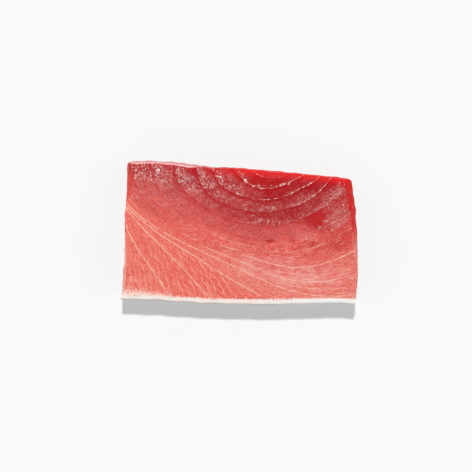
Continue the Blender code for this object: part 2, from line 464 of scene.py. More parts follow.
def flared(u, v, height):
    """Draws the sides in by flare * height^power, by a quadratic round at the base and by two waves.

    The left flare grows past the middle and shrinks at the far corner, and the right one grows up
    to the middle. The spine side's is greater at the left, less a step and a tuck by the corner.
    """
    lean = height**FLARE_POWER
    tuck = BASE_ROUND * (1 - np.clip(height / BASE_ROUND_HEIGHT, 0, 1)) ** 2
    wave = SIDE_WAVE * np.sin(9 * u + 2 * height) * np.cos(7 * v - 3 * height)
    left = mix(LEFT_FLARE, ramp(v, 0.25, 0.75) * (1 - 0.8 * ramp(v, 0.84, 0.96)))
    end = np.where(u < 0, left, mix(RIGHT_FLARE, ramp(v, -0.5, 0.2)))
    spine = mix(SPINE_FLARE, ramp(-u, 0.3, 0.5))
    spine = spine - SPINE_STEP * ramp(-u, 0.65, 0.76) - CORNER_TUCK * ramp(-u, 0.9, 0.97)
    v = v - across(v) * (spine * lean + tuck + wave) / (DEPTH / 2)
    return u * (1 - (end * lean + tuck + wave) / (LENGTH / 2)), v


def face_height(u, v):
    """Height of the cut face: level by the skin, falling as a power of v towards the spine side."""
    fall = np.clip((v - FACE_FALL_START) / (1 - FACE_FALL_START), 0, 1) ** FACE_FALL_POWER
    return THICKNESS - FACE_FALL * fall - END_FALL * u**6


def smoothed(values, places, wanted):
    """Smooth curve through rows of values at the given places, by cubic Hermite pieces."""
    places, values = np.asarray(places, float), np.asarray(values, float)
    slope = np.gradient(values, places, axis=0)
    i = np.clip(np.searchsorted(places, wanted) - 1, 0, len(places) - 2)
    gap = (places[i + 1] - places[i])[:, None]
    t = np.clip((wanted - places[i])[:, None] / gap, 0, 1)
    start = values[i] * (1 + 2 * t) * (1 - t) ** 2 + slope[i] * gap * t * (1 - t) ** 2
    return start + values[i + 1] * t * t * (3 - 2 * t) + slope[i + 1] * gap * t * t * (t - 1)


# The table of line numbers by bearing and distance, from smooth curves through GROWTH_LINES
numbers = np.arange(0, len(GROWTH_LINES) - 1, LINE_STEP / 5)
degrees = np.arange(BEARINGS[0], BEARINGS[-1] + LINE_STEP, LINE_STEP)
distances = np.arange(0, LINE_FARTHEST, LINE_STEP)
radii = smoothed(smoothed(GROWTH_LINES, range(len(GROWTH_LINES)), numbers).T, BEARINGS, degrees)
radii = np.maximum.accumulate(radii, axis=1)
line_table = np.array([np.interp(distances, row, numbers) for row in radii])


def bearing(x, y):
    """Angle about the growth lines' centre, in degrees from +X round towards the skin."""
    return np.degrees(np.arctan2(LINE_CENTRE[1] - y, x - LINE_CENTRE[0])) % 360


def even_number(x, y):
    """Growth line number at each point, read from the table between its four nearest entries."""
    row = (np.clip(bearing(x, y), BEARINGS[0], BEARINGS[-1]) - BEARINGS[0]) / LINE_STEP
    column = np.hypot(x - LINE_CENTRE[0], y - LINE_CENTRE[1]) / MM / LINE_STEP
    i = np.clip(row.astype(int), 0, line_table.shape[0] - 2)
    j = np.clip(column.astype(int), 0, line_table.shape[1] - 2)
    a, b = row - i, np.clip(column - j, 0, 1)
    low = line_table[i, j] * (1 - b) + line_table[i, j + 1] * b
    high = line_table[i + 1, j] * (1 - b) + line_table[i + 1, j + 1] * b
    return low * (1 - a) + high * a


def line_spacing(x, y):
    """Distance from one growth line to the next: one over the slope of the line number."""
    along_x = even_number(x + MM, y) - even_number(x - MM, y)
    along_y = even_number(x, y + MM) - even_number(x, y - MM)
    return np.clip(2 * MM / np.maximum(np.hypot(along_x, along_y), 1e-3), MM / 2, 30 * MM)


def line_number(x, y):
    """The even line number, made to wander a little, as lines in muscle do."""
    flat = np.stack([x, y, np.zeros_like(x)], axis=-1).reshape(-1, 3)
    return even_number(x, y) + WANDER * waves(flat, WANDER_SIZE, 4).reshape(x.shape) / line_spacing(x, y)


def nearest_streak(number, angle, spacing):
    """Distance from the nearest streak that runs through here, and its strength at this bearing."""
    distance, strength = np.full(number.shape, 1.0), np.zeros(number.shape)
    for line, first, last, mark in STREAKS:
        here = ramp(angle, first - STREAK_END, first + STREAK_END)
        here = here * fade(angle, last - STREAK_END, last + STREAK_END)
        gap = (number - line) * spacing
        nearer = (here > 0) & (np.abs(gap) < np.abs(distance))
        distance = np.where(nearer, gap, distance)
        strength = np.where(nearer, mark * here, strength)
    return distance, strength


def ridge(number, spacing):
    """Height of the cut face over the growth lines: a square climb to each line, and a drop past it."""
    part = number % 1
    climb = np.clip((part - RIDGE_DROP / 2) / (1 - RIDGE_DROP / 2), 0, 1) ** 2
    drop = fade(part, 0, RIDGE_DROP)
    size = mix((RIDGE_LEAN, RIDGE_FAT), ramp(number, 3.5, 5.8)) * ramp(spacing, *RIDGE_SPACING)
    return size * (climb + drop - 0.5)


def flesh_point(u, v, w):
    """The smooth block: u and v across it, w from 0 at the base to 1 at the cut face."""
    u, v = rounded(u, v)
    rim = np.minimum(1 - np.abs(u), 1 - v) * DEPTH / 2
    top = face_height(u, v) - RIM_ROUND * np.clip(1 - rim / (2 * RIM_ROUND), 0, 1) ** 2
    u, v = flared(u, v, w)
    x, y = flesh_plan(u, v)
    top = top + ridge(line_number(x, y), line_spacing(x, y)) * ramp(rim, 0, 2 * RIM_ROUND)
    return np.stack([x, y, w * top], axis=-1)


def bunched(count):
    """Values from -1 to 1, closer together near both ends."""
    even = np.linspace(-1, 1, count + 1)
    return mix((even, np.sin(np.pi / 2 * even)), BUNCHING)


def loop(sheet):
    """The border of a sheet of point numbers, anticlockwise seen from above."""
    return np.concatenate([sheet[0, :-1], sheet[:-1, -1], sheet[-1, :0:-1], sheet[:0:-1, 0]])


def quads(sheet):
    """The cells of a sheet of point numbers, facing up."""
    return np.stack([sheet[:-1, :-1], sheet[:-1, 1:], sheet[1:, 1:], sheet[1:, :-1]], axis=-1).reshape(-1, 4)


u_face, v_face = np.meshgrid(bunched(CELLS_ALONG), bunched(CELLS_ACROSS))
# The base has a third as many cells each way, so an edge of its border meets three of the sides'
u_base, v_base = u_face[::3, ::3], v_face[::3, ::3]
u_rim, v_rim = loop(u_face), loop(v_face)
ring_heights = (1 - np.linspace(0, 1, RINGS + 2)[1:-1] ** RING_POWER)[:, None]
flesh_uvw = np.concatenate(
    [
        np.stack([u_face, v_face, np.ones_like(u_face)], axis=-1).reshape(-1, 3),
        np.stack(np.broadcast_arrays(u_rim, v_rim, ring_heights), axis=-1).reshape(-1, 3),
        np.stack([u_base, v_base, np.zeros_like(u_base)], axis=-1).reshape(-1, 3),
    ]
)
face_numbers = np.arange(u_face.size).reshape(u_face.shape)
ring_numbers = u_face.size + np.arange(RINGS * len(u_rim)).reshape(RINGS, -1)
base_numbers = u_face.size + ring_numbers.size + np.arange(u_base.size).reshape(u_base.shape)
side_numbers = np.concatenate([loop(face_numbers)[None], ring_numbers])
side_numbers = np.concatenate([side_numbers, side_numbers[:, :1]], axis=1)
lowest, border = side_numbers[-1], loop(base_numbers)
foot = [lowest[:-1:3], border, np.roll(border, -1), lowest[3::3], lowest[2::3], lowest[1::3]]
flesh_mesh = grid_mesh(
    "flesh",
    flesh_point(*flesh_uvw.T),
    [quads(face_numbers), quads(side_numbers.T), np.stack(foot, axis=-1), quads(base_numbers)[:, ::-1]],
)

# What the relief and the material need to know at each point: its growth line, the distance to the
# next line, the nearest streak, how far in it is from the ends and the far side, and whether it is
# on the cut face
points = np.empty((len(flesh_mesh.vertices), 3), np.float32)
flesh_mesh.vertices.foreach_get("co", points.ravel())
normals = np.empty_like(points)
flesh_mesh.vertex_normals.foreach_get("vector", normals.ravel())
x, y, z = points.T.astype(float)
u, v, w = flesh_uvw.T
sunk = np.clip(face_height(u, v) - z, 0, THICKNESS)
growth = line_number(x, y + sunk * LINE_SLANT / THICKNESS)
spacing = line_spacing(x, y)
angle = bearing(x, y)
streak_offset, streak = nearest_streak(growth, angle, spacing)
side_rim, back_rim = (1 - np.abs(u)) * LENGTH / 2, (1 - v) * DEPTH / 2
on_face = ramp(w, 0.9, 1.0)


def patch(row):
    """A patch's strength inside its tilted ellipse, falling to 0 round it as a smooth step."""
    dx, dy, tilt = x / MM - row[0], y / MM - row[1], np.radians(row[4])
    along = (dx * np.cos(tilt) + dy * np.sin(tilt)) / row[2]
    beside = (dy * np.cos(tilt) - dx * np.sin(tilt)) / row[3]
    return row[5] * fade(np.hypot(along, beside), 0.6, 1.25)


def patches(rows):
    """The strongest of several patches at each point."""
    return np.max([patch(row) for row in rows], axis=0)


def store(mesh, name, values):
    """Keeps a value on each point of a mesh, for its material to read."""
    mesh.attributes.new(name, "FLOAT", "POINT").data.foreach_set("value", values.astype(np.float32))


# Where the muscle is lean, and the bands from one line to the next, with a redder line of painted
# shade just past each, where the face falls away from the light
wet_limit = 6.3 + 3.0 * ramp(angle, 138, 162) + 0.5 * ramp(-angle, -62, -40)
lean = ramp(wet_limit + 0.25 * waves(points, 9 * MM, 8) - growth, -0.7, 0.7)
part = (growth + 0.04 * waves(points, 3 * MM, 7)) % 1
rightward = ramp(x, 8 * MM, 28 * MM)
behind_line = ramp(part, 0.13 + 0.37 * rightward, 0.42 + 0.5 * rightward)
before_line = fade(part, 0.03, 0.12)
painted_shade_line = bell(part, 0.08, 0.07) * lean * ramp(growth, 1.9, 2.1) * ramp(angle, 90, 115)
faded_left = ramp(angle, 98, 122) * ramp(back_rim, 13 * MM, 27 * MM)
near_spine = ramp(x, -24 * MM, -8 * MM) * fade(growth, 2.9, 3.0)
smooth, glint_beads, glint_pearls = patches(SMOOTH_PATCHES), patches(GLINT_BEADS), patches(GLINT_PEARLS)
calm = patch(CALM_PATCH)
ragged_side = side_rim + 0.8 * MM * waves(points, 3.5 * MM, 10)
inside = ramp(ragged_side, 0.5 * MM, 2.4 * MM) * on_face

# The milky veil: painted sheen of the wet face, dense behind each line where the face tilts
# towards the light, and almost none on the clean red part
clean_red = ramp(x, -4 * MM, 6 * MM) * fade(growth, 1.9, 2.1)
clean_red = np.maximum(rightward * fade(growth, 2.9, 3.4), clean_red)
patchy = ramp(waves(points, 8 * MM, 11), -1.2, 0.8)
moisture_and_painted_sheen = lean * mix((0.5, 1.0), behind_line)
moisture_and_painted_sheen = moisture_and_painted_sheen * (1 - mix((0.5, 0.85), ramp(angle, 95, 130)) * before_line * (1 - 0.6 * faded_left))
moisture_and_painted_sheen = moisture_and_painted_sheen * mix((0.45, 1.0), patchy) * mix((0.2, 1.0), ramp(back_rim, 2 * MM, 13 * MM))
moisture_and_painted_sheen = moisture_and_painted_sheen * (1 - 0.42 * near_spine) * (1 - 0.97 * clean_red) * (1 - smooth) * inside

# Specks of moisture, painted as pale glints: most late in each band, some by the far left corner
# and at the right, and close together in the beads
left_red = ramp(-x, 42 * MM, 60 * MM) * fade(back_rim, 8 * MM, 18 * MM) * on_face
right_mottle = ramp(x, 58 * MM, 68 * MM) * ramp(back_rim, 6 * MM, 11 * MM) * fade(growth, 6.2, 7.2)
wet_glint_specks = lean * ramp(part, 0.3, 0.85) * (1 - before_line) * ramp(waves(points, 6 * MM, 9), -0.8, 1.0)
wet_glint_specks = wet_glint_specks * (1 - 0.7 * faded_left)
wet_glint_specks = wet_glint_specks * (1 - 0.7 * ramp(growth, 4.8, 5.5) * ramp(back_rim, 12 * MM, 22 * MM))
wet_glint_specks = wet_glint_specks * mix((0.9, 0.3), rightward * fade(x, 56 * MM, 68 * MM)) * (1 - 0.4 * near_spine)
wet_glint_specks = np.maximum.reduce([wet_glint_specks * (1 - calm), 0.55 * left_red, 0.26 * right_mottle])
wet_glint_specks = np.maximum(wet_glint_specks * (1 - smooth), 0.8 * glint_beads) * inside

# The walls, their colour painted brighter to make up for the little light they get: red by the
# spine and pink towards the skin, with fat along the rim in front, painted lighter too, and a torn
# pale strip of painted highlight on the left part of the back
on_side = (1 - ramp(ragged_side, 0.0, 1.6 * MM) * on_face) * mix((0.7, 1.0), ramp(w, 0.3, 1.0))
on_side = on_side * ramp(y, -24 * MM, 10 * MM) * fade(v, 0.9, 0.97)
torn = 4 * MM * waves(points, 10 * MM, 13) + 1.5 * MM * waves(points * (1, 1, 0.3), 3.5 * MM, 14)
red_part = ramp(y + 0.5 * torn, -14 * MM, 5 * MM)
red_part = np.where(x > 0, red_part, 0.75 * ramp(y, 20 * MM, 28 * MM))
back_wall_highlight = (1 - on_face) * ramp(v + 8 * torn, 0.9, 0.97) * fade(x + torn, -38 * MM, -8 * MM)
back_wall_highlight = back_wall_highlight * ramp(x + 0.5 * torn, -88 * MM, -84 * MM)
back_wall_highlight = back_wall_highlight * mix((0.25, 1.0), ramp(z + 0.8 * torn, 1 * MM, 9 * MM))
back_wall_highlight = back_wall_highlight * mix((0.6, 1.0), ramp(waves(points, 14 * MM, 15), -0.8, 0.4))
front_rim_fat_and_light = np.where(x < 0, ramp(-y, -2 * MM, 20 * MM), 0.36 * ramp(-y, -8 * MM, 8 * MM))
front_rim_fat_and_light = fade(side_rim, 0.3 * MM, 2.2 * MM) * front_rim_fat_and_light * mix((0.3, 1.0), ramp(w, 0.3, 1.0))

# The spine side: a vivid rim, painted brighter where the light from behind falls on it, a pale
# edge that is a painted highlight, and deeper reds inside it and at the right
lit_rim_red = ramp(x, -38 * MM, 12 * MM) * fade(back_rim, 2 * MM, 9.5 * MM)
back_red = fade(back_rim, 2 * MM, 14 * MM) * fade(growth, 7, 9.5)
painted_rim_highlight = bell(back_rim + (1 - w) * THICKNESS, 0, 0.6 * MM)
painted_rim_highlight = painted_rim_highlight * mix((0.5, 1.0), fade(x, -30 * MM, -14 * MM))
deep_limit = 5.0 + 1.3 * ramp(x, 46 * MM, 64 * MM)
deep = ramp(x, 5 * MM, 25 * MM) * fade(growth - deep_limit, -0.3, 0.3)
deep = np.maximum(deep, patch(SMOOTH_PATCHES[2])) * (1 - 0.85 * lit_rim_red) * on_face
right_red = fade(angle, 50, 68) * ramp(growth, 4.8, 5.6) * fade(growth, 6.9, 8.2)
grain_depth = mix((0.15, mix((0.45, 0.16), ramp(growth, 4.3, 5.3))), lean)
grain_depth = grain_depth * (1 - lit_rim_red) * (1 - 0.7 * faded_left) * mix((0.3, 1.0), on_face)

# Fine relief over the smooth block, raised under the painted sheen and the beads and pearls of
# glints, and stronger on the walls
above_base = ramp(z, 0, 2 * MM)
on_wall = 1 - on_face * ramp(np.minimum(side_rim, back_rim), 0, 2 * MM)
relief = 0.02 * MM * waves(points, 2.4 * MM, 1)
relief += (0.03 + 0.015 * moisture_and_painted_sheen + 0.06 * glint_beads) * MM * waves(points, 5 * MM, 2)
relief += 0.07 * MM * waves(points, 11 * MM, 3) + 0.12 * MM * glint_pearls * on_face
relief += 0.28 * MM * on_wall * waves(points, 9 * MM, 12) * ramp(v, -0.95, -0.6)
points += normals * (relief * above_base)[:, None].astype(np.float32)
flesh_mesh.vertices.foreach_set("co", points.ravel())
flesh_mesh.update()

# Fat: fanning branches, frayed crumbs by the skin and at the left end, a pale bloom, and dashes
# between the lines at the right
fan_x, fan_y = x - FAN_CENTRE[0], FAN_CENTRE[1] - y
fan = np.degrees(np.arctan2(fan_y, fan_x)) / FAN_STEP
fan += 0.14 * waves(points, 12 * MM, 5) + 0.09 * waves(points, 5 * MM, 6)
fan_shows = ramp(growth, 10.4, 11.2) * ramp(np.hypot(fan_x, fan_y), 62 * MM, 82 * MM)
fan_shows = fan_shows * fade(x, 0, 30 * MM)
from_skin = y - PLAN_SHIFT[1] - skin_line(u) - skin_depth(u)
fray_reach = mix(FRAY_REACH, ramp(-x, 45 * MM, 85 * MM))
side_crumbs = 0.55 * fade(side_rim, 0.0, 7 * MM) * ramp(-x, 0, MM) * ramp(-y, 4 * MM, 20 * MM)
crumbs = np.maximum(np.clip(1 - from_skin / fray_reach, 0, 1), patch(LEFT_CRUMBS))
crumbs = np.maximum(crumbs, side_crumbs * ramp(w, 0.4, 1.0))
bloom = patches(BLOOMS)
bloom += 0.5 * ramp(growth, 7.4, 8.8) * fade(growth, 10.4, 11.4) * fade(angle, 105, 130)
dashed = ramp(growth, 6.3, 7.2) * fade(growth, 10.3, 11.3) * fade(angle, 105, 150)
dashed *= ramp(waves(points, 12 * MM, 16), -0.7, 0.5)
bunch = ramp(angle, 151, 159) * ramp(growth, 8.3, 9.3)
halo = streak * (1 - bunch) * bell(streak_offset, 0, HALO_REACH) * ramp(spacing, 2 * MM, 6 * MM)

smoother_sheen = [faded_left, ramp(growth, 4.9, 5.4) * ramp(back_rim, 14 * MM, 22 * MM), 0.8 * calm]
stored = {
    "growth": growth,
    "streak": streak * (1 - 0.1 * bunch) * fade(np.abs(streak_offset), *STREAK_REACH),
    "streak_offset": streak_offset / MM,
    "halo": halo,
    "lean": lean,
    "grain_depth": grain_depth,
    "moisture_and_painted_sheen": moisture_and_painted_sheen,
    "wet_glint_specks": wet_glint_specks,
    "back_red": back_red,
    "painted_rim_highlight": painted_rim_highlight,
    "rim_distance": (back_rim - (1 - w) * THICKNESS) / MM,
    "rim_highlight_shows": ramp(x, -84 * MM, -80 * MM) * fade(x, -40 * MM, -28 * MM),
    "lit_rim_red": lit_rim_red,
    "left_red": left_red,
    "dull": patch(DULL_PATCH) * on_face,
    "painted_shade_line": painted_shade_line * (1 - 0.7 * faded_left) * inside,
    "red_spots": patches(RED_SPOTS),
    "right_red": right_red,
    "front_rim_fat_and_light": front_rim_fat_and_light,
    "glint_pearls": glint_pearls * on_face,
    "smoother_sheen": np.maximum.reduce(smoother_sheen),
    "red_side_painted_light": on_side * red_part,
    "pink_side_painted_light": on_side * (1 - red_part),
    "back_wall_highlight": back_wall_highlight,
    "deep": deep,
    "bloom": bloom,
    "dashed": dashed * on_face,
    "fan": fan,
    "fan_shows": fan_shows,
    "crumbs": crumbs,
    "glint_beads": glint_beads * inside,
    "on_face": on_face,
}
for name, values in stored.items():
    store(flesh_mesh, name, values)
flow = (np.stack([angle, growth, z / MM], axis=-1) * FLOW_SCALE * MM).astype(np.float32)
flesh_mesh.attributes.new("flow", "FLOAT_VECTOR", "POINT").data.foreach_set("vector", flow.ravel())


def maths(tree, operation, *values):
    """One Math node on up to three values or sockets."""
    return put(tree, "ShaderNodeMath", dict(enumerate(values)), operation=operation).outputs[0]


def times(tree, *values):
    """The product of values or sockets."""
    product = values[0]
    for value in values[1:]:
        product = maths(tree, "MULTIPLY", product, value)
    return product


def rest_of(tree, value):
    """One less a value."""
    return maths(tree, "SUBTRACT", 1.0, value)


def shaken(tree, value, noisy, reach):
    """A value moved up or down by a noise: value + (noise - 0.5) * reach."""
    return maths(tree, "ADD", value, times(tree, maths(tree, "SUBTRACT", noisy, 0.5), reach))


def stretched(tree, place, *factors):
    """A place with its three coordinates multiplied, so that a pattern on it is drawn out or squeezed."""
    return put(tree, "ShaderNodeVectorMath", {0: place, 1: factors}, operation="MULTIPLY").outputs[0]


def pigment(red, green, blue):
    """An sRGB colour of 0 to 255 as a linear one with alpha."""
    share = np.array([red, green, blue]) / 255
    linear = np.where(share <= 0.04045, share / 12.92, ((share + 0.055) / 1.055) ** 2.4)
    return (*linear.tolist(), 1.0)


def noise(tree, place, size, detail=2.0, roughness=0.5):
    """Noise of about 0..1 with features of the given size in millimetres."""
    values = {"Vector": place, "Scale": 1 / (size * MM), "Detail": detail, "Roughness": roughness}
    return put(tree, "ShaderNodeTexNoise", values).outputs["Fac"]


def attribute(tree, name):
    """A value stored on the piece's points."""
    return put(tree, "ShaderNodeAttribute", attribute_name=name).outputs["Fac"]


def blended(tree, factor, below, above):
    """Mixes two colours. A Mix node's colour sockets are its inputs 6 and 7 and its output 2."""
    return put(tree, "ShaderNodeMix", {"Factor": factor, 6: below, 7: above}, data_type="RGBA").outputs[2]


def layered(tree, colour, layers):
    """Lays pigments over a colour, one after the other: each has a mask, a strength and its sRGB colour."""
    for mask, strength, rgb in layers:
        colour = blended(tree, times(tree, mask, strength), colour, pigment(*rgb))
    return colour


def crumb_group():
    """The fine moist crumb that flesh and skin share: a noise, and masks of its pale and dark grains.

    A grain is pale where the noise passes 0.5 + gap, and dark where it falls below 0.5 - gap, by a
    smooth step as wide as softness.
    """
    group = bpy.data.node_groups.new("moist_crumb", "ShaderNodeTree")
    group.interface.new_socket("Place", in_out="INPUT", socket_type="NodeSocketVector")
    for name in ("Grains per metre", "Detail", "Roughness", "Gap", "Softness"):
        group.interface.new_socket(name, in_out="INPUT", socket_type="NodeSocketFloat")
    for name in ("Crumb", "Pale", "Dark"):
        group.interface.new_socket(name, in_out="OUTPUT", socket_type="NodeSocketFloat")
    given = group.nodes.new("NodeGroupInput").outputs
    values = {"Vector": given["Place"], "Scale": given["Grains per metre"]}
    values.update({"Detail": given["Detail"], "Roughness": given["Roughness"]})
    crumb = put(group, "ShaderNodeTexNoise", values).outputs["Fac"]
    pale_from = maths(group, "ADD", 0.5, given["Gap"])
    dark_from = maths(group, "SUBTRACT", 0.5, given["Gap"])
    pale = span(group, crumb, pale_from, maths(group, "ADD", pale_from, given["Softness"]))
    dark = span(group, crumb, dark_from, maths(group, "SUBTRACT", dark_from, given["Softness"]))
    put(group, "NodeGroupOutput", {"Crumb": crumb, "Pale": pale, "Dark": dark})
    return group


def moist_crumb(tree, place, size, detail, roughness, gap, softness):
    """Places the crumb group in a material, for grains of the given size in millimetres."""
    values = {"Place": place, "Grains per metre": 1 / (size * MM), "Detail": detail}
    values.update({"Roughness": roughness, "Gap": gap, "Softness": softness})
    placed = put(tree, "ShaderNodeGroup", values, node_tree=crumb_nodes).outputs
    return placed["Crumb"], placed["Pale"], placed["Dark"]


crumb_nodes = crumb_group()
flesh_finish, tree, shader = finished(
    "wet_flesh",
    {
        "IOR": 1.38,
        "Specular IOR Level": 0.07,
        "Subsurface Weight": 0.1,
        "Subsurface Radius": (3.0, 0.8, 0.5),
        "Subsurface Scale": MM,
        "Coat Roughness": 0.2,
        "Coat IOR": 1.34,
    },
)
place = put(tree, "ShaderNodeTexCoord").outputs["Object"]
flow_place = put(tree, "ShaderNodeAttribute", attribute_name="flow").outputs["Vector"]
here = {name: attribute(tree, name) for name in stored}
fatty, wall = rest_of(tree, here["lean"]), rest_of(tree, here["on_face"])

# Streaks: thin lines of cream fat whose edge trembles, with gaps, crumbling where the flesh is lean;
# there they are paler, partly painted glints on the ridges
jitter_place = stretched(tree, flow_place, 1.0, 0.0, 0.0)
from_line = shaken(tree, here["streak_offset"], noise(tree, jitter_place, size=2.6, detail=4.0), 0.7)
width = span(tree, noise(tree, place, size=2.2, detail=1.0), 0.3, 0.7, 0.11, 0.27)
width = times(tree, width, span(tree, here["lean"], 0.0, 1.0, 1.0, 1.3))
thin = rest_of(tree, span(tree, maths(tree, "DIVIDE", maths(tree, "ABSOLUTE", from_line), width), 0.5, 1.2))
gaps_below = span(tree, here["lean"], 0.0, 1.0, 0.36, 0.52)
run = maths(tree, "SUBTRACT", noise(tree, place, size=2.6, detail=1.5), gaps_below)
crumbled = times(tree, span(tree, noise(tree, place, size=1.4, detail=1.0), 0.54, 0.44), here["lean"], 0.8)
streaks = times(tree, thin, here["streak"], span(tree, run, -0.05, 0.05, 0.15, 1.0), rest_of(tree, crumbled))

# Branches of fat that fan out, thick and thin
from_branch = times(tree, maths(tree, "PINGPONG", here["fan"], 0.5), FAN_WIDTH)
branch_width = span(tree, noise(tree, place, size=4.0, detail=1.0), 0.35, 0.7, 0.1, 0.34)
branches = rest_of(tree, span(tree, maths(tree, "DIVIDE", from_branch, branch_width), 0.4, 1.3))
branch_gaps = span(tree, noise(tree, place, size=9.0, detail=1.5), 0.34, 0.54)
branches = times(tree, branches, branch_gaps, here["fan_shows"])

# Grain and specks of the moist face, and the fibres of the walls, drawn out along their height
grain, pale_grain, dark_grain = moist_crumb(
    tree, flow_place, size=0.95, detail=2.0, roughness=0.6, gap=0.0, softness=0.2
)
speckle, pale_speckle, dark_speckle = moist_crumb(
    tree, place, size=1.15, detail=1.0, roughness=0.5, gap=0.04, softness=0.1
)
fibre_place = stretched(tree, place, 1.0, 1.0, 0.14)
_, pale_fibres, dark_fibres = moist_crumb(
    tree, fibre_place, size=1.0, detail=2.0, roughness=0.6, gap=0.0, softness=0.16
)
darkest = span(tree, speckle, 0.5, 0.4)
broad = noise(tree, place, size=4.5, detail=3.0, roughness=0.55)
pearly_glints = times(tree, here["glint_pearls"], speckle)

# Painted glint strokes and dashes of fat lie along the lines, and painted glint dots and frayed fat
# thicken with their masks
stroke_place = stretched(tree, flow_place, 0.4, 1.0, 1.0)
dash_place = stretched(tree, flow_place, 0.35, 1.7, 1.0)
glint_strokes = span(tree, noise(tree, stroke_place, size=1.0, detail=2.0, roughness=0.65), 0.55, 0.66)
dashes = span(tree, noise(tree, dash_place, size=1.15, detail=1.0), 0.55, 0.66)
glint_dots = maths(tree, "ADD", noise(tree, place, size=1.2, detail=1.0), times(tree, here["wet_glint_specks"], 0.15))
glint_dots = times(tree, span(tree, glint_dots, 0.66, 0.74), span(tree, here["wet_glint_specks"], 0.0, 0.35))
frayed = noise(tree, place, size=0.9, detail=3.0, roughness=0.65)
frayed = maths(tree, "ADD", frayed, times(tree, here["crumbs"], 0.46))

# The painted highlight on the back wall shows the fibres, and a pale painted line of highlight
# trembles along the rim
fibre_contrast = maths(tree, "SUBTRACT", pale_fibres, dark_fibres)
back_highlight = maths(tree, "ADD", here["back_wall_highlight"], times(tree, fibre_contrast, 0.16))
from_rim = maths(tree, "SUBTRACT", here["rim_distance"], span(tree, broad, 0.3, 0.7, 0.1, 0.6))
rim_highlight_line = times(tree, span(tree, maths(tree, "ABSOLUTE", from_rim), 0.5, 0.25), here["rim_highlight_shows"])

# The ground colour: stops by growth line number, in sRGB
GROUND = (
    (1.2, (186, 4, 10)),
    (2.5, (172, 6, 14)),
    (3.5, (168, 12, 22)),
    (4.6, (174, 34, 38)),
    (5.4, (208, 83, 78)),
    (6.5, (226, 104, 96)),
    (7.5, (220, 96, 88)),
    (9.0, (224, 102, 90)),
    (10.5, (229, 112, 98)),
    (12.0, (230, 110, 97)),
    (14.0, (230, 116, 102)),
)
shaded = shaken(tree, here["growth"], noise(tree, place, size=9.0, detail=2.0, roughness=0.5), 1.6)
ground = put(tree, "ShaderNodeValToRGB", {"Fac": maths(tree, "DIVIDE", shaded, GROUND[-1][0])})
for number, rgb in GROUND[1:-1]:
    ground.color_ramp.elements.new(number / GROUND[-1][0])
for stop, (number, rgb) in zip(ground.color_ramp.elements, GROUND):
    stop.position = number / GROUND[-1][0]
    stop.color = pigment(*rgb)

